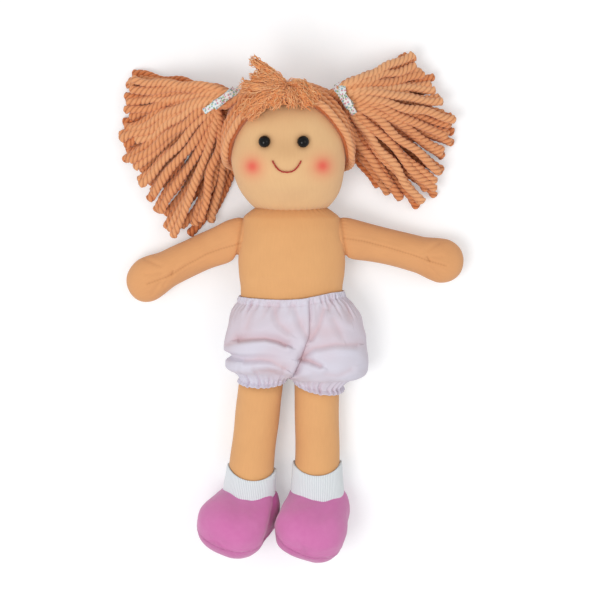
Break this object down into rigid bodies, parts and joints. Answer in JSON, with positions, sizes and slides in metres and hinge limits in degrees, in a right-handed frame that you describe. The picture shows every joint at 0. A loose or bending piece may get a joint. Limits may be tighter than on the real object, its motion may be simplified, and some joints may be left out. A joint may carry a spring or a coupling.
{
  "type": "rag doll",
  "caption": "Soft stuffed cloth doll lying on its back, with yarn hair in bunches, bloomers, socks and shoes; head, arms, legs and bunches fold at their seams.",
  "frame": {"origin": "on the flat rest face in the middle of the torso's back, with the doll lying on its back", "axes": "+Z out of the doll's front, away from the surface it lies on; +Y from the feet towards the head; +X towards the doll's own left hand"},
  "size_m": [0.2417, 0.3536, 0.0734],
  "materials": {
    "skin_jersey": "fine matt jersey",
    "stuffing_fibre": "loose polyester fibre",
    "hair_yarn": "thick plied yarn",
    "fringe_yarn": "unravelled yarn",
    "tie_ribbon": null,
    "bloomers_cotton": "thin plain-weave cotton",
    "elastic_band": "braided elastic",
    "sock_rib": "ribbed knit",
    "shoe_cloth": "soft brushed jersey",
    "mouth_thread": "stranded cotton thread",
    "eye_plastic": "polished",
    "washer_plastic": "moulded"
  },
  "bodies": {
    "torso": {"torso_skin": "skin_jersey", "torso_stuffing": "stuffing_fibre", "bloomers_left_panel": "bloomers_cotton", "bloomers_right_panel": "bloomers_cotton", "waist_elastic": "elastic_band"},
    "head": {"head_skin": "skin_jersey", "head_stuffing": "stuffing_fibre", "left_eye": "eye_plastic", "right_eye": "eye_plastic", "left_eye_washer": "washer_plastic", "right_eye_washer": "washer_plastic", "mouth_stitch": "mouth_thread", "hair_cap": "hair_yarn", "hair_fringe": "fringe_yarn"},
    "left_bunch": {"left_hair_bunch": "hair_yarn", "left_hair_tie": "tie_ribbon"},
    "right_bunch": {"right_hair_bunch": "hair_yarn", "right_hair_tie": "tie_ribbon"},
    "left_arm": {"left_arm_skin": "skin_jersey", "left_arm_stuffing": "stuffing_fibre"},
    "right_arm": {"right_arm_skin": "skin_jersey", "right_arm_stuffing": "stuffing_fibre"},
    "left_leg": {"left_leg_skin": "skin_jersey", "left_leg_stuffing": "stuffing_fibre", "left_leg_elastic": "elastic_band", "left_sock": "sock_rib", "left_shoe_upper": "shoe_cloth", "left_shoe_sole": "shoe_cloth", "left_foot_stuffing": "stuffing_fibre"},
    "right_leg": {"right_leg_skin": "skin_jersey", "right_leg_stuffing": "stuffing_fibre", "right_leg_elastic": "elastic_band", "right_sock": "sock_rib", "right_shoe_upper": "shoe_cloth", "right_shoe_sole": "shoe_cloth", "right_foot_stuffing": "stuffing_fibre"}
  },
  "joints": [
    {"name": "neck_nod", "type": "hinge", "parent": "torso", "child": "head", "pos_m": [0, 0.038, 0.038], "axis": [1, 0, 0], "range_deg": [0, 35]},
    {"name": "left_bunch_swing", "type": "hinge", "parent": "head", "child": "left_bunch", "pos_m": [0.04402, 0.1113, 0.03648], "axis": [0, -1, 0], "range_deg": [0, 70]},
    {"name": "right_bunch_swing", "type": "hinge", "parent": "head", "child": "right_bunch", "pos_m": [-0.04802, 0.1113, 0.03648], "axis": [0, 1, 0], "range_deg": [0, 70]},
    {"name": "left_shoulder", "type": "hinge", "parent": "torso", "child": "left_arm", "pos_m": [0.03667, 0.0176, 0.0259], "axis": [0.1305, -0.9914, 0], "range_deg": [0, 80]},
    {"name": "right_shoulder", "type": "hinge", "parent": "torso", "child": "right_arm", "pos_m": [-0.03667, 0.0176, 0.0259], "axis": [0.1305, 0.9914, 0], "range_deg": [0, 80]},
    {"name": "left_hip", "type": "hinge", "parent": "torso", "child": "left_leg", "pos_m": [0.0176, -0.0668, 0.0191], "axis": [-1, 0, 0], "range_deg": [0, 95], "deforming": ["bloomers_left_panel"]},
    {"name": "right_hip", "type": "hinge", "parent": "torso", "child": "right_leg", "pos_m": [-0.0196, -0.0668, 0.0191], "axis": [-1, 0, 0], "range_deg": [0, 95], "deforming": ["bloomers_right_panel"]}
  ]
}
